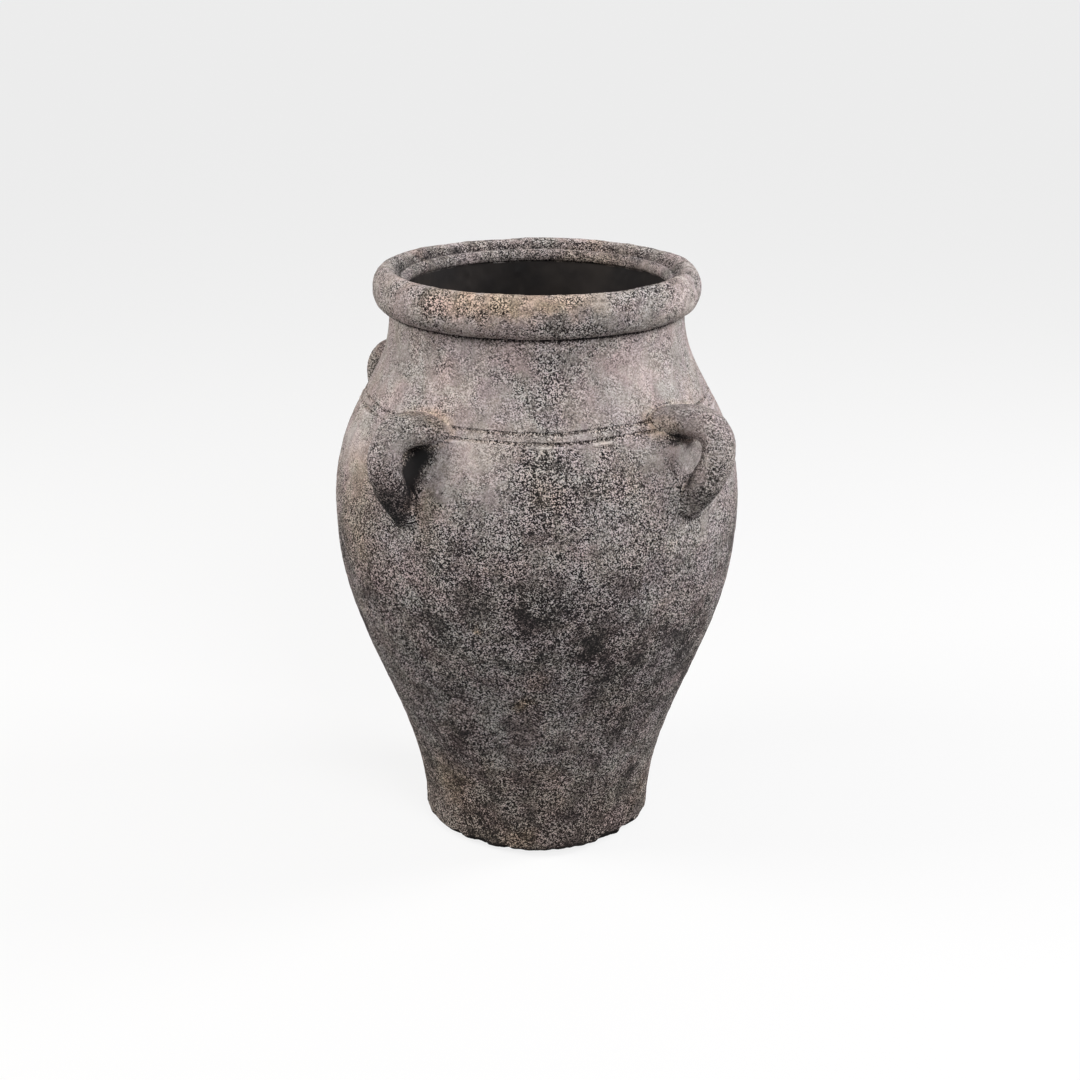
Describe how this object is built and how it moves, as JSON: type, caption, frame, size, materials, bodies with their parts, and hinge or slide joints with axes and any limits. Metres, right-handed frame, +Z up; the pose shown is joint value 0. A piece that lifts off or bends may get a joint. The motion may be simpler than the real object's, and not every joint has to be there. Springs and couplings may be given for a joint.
{
  "type": "hydria jar",
  "caption": "Aged terracotta water jar with a swelling belly, narrow foot, rolled rim, incised shoulder lines and strap handles; holds water, stems or a planting",
  "frame": {"origin": "centre of the base, on the ground", "axes": "+Z up along the jar's axis, -Y towards the middle handle, +X towards the right handle"},
  "size_m": [0.4794, 0.4499, 0.6],
  "materials": {
    "aged_terracotta": "matt weathered clay with a gritty grey-brown wash, charcoal patches and ochre traces"
  },
  "bodies": {
    "root": {"floor_slab": "aged_terracotta", "lower_wall": "aged_terracotta", "belly_wall": "aged_terracotta", "shoulder_wall": "aged_terracotta", "neck_collar": "aged_terracotta", "rim_roll": "aged_terracotta", "handle_middle": "aged_terracotta", "handle_right": "aged_terracotta", "handle_left": "aged_terracotta"}
  },
  "joints": []
}
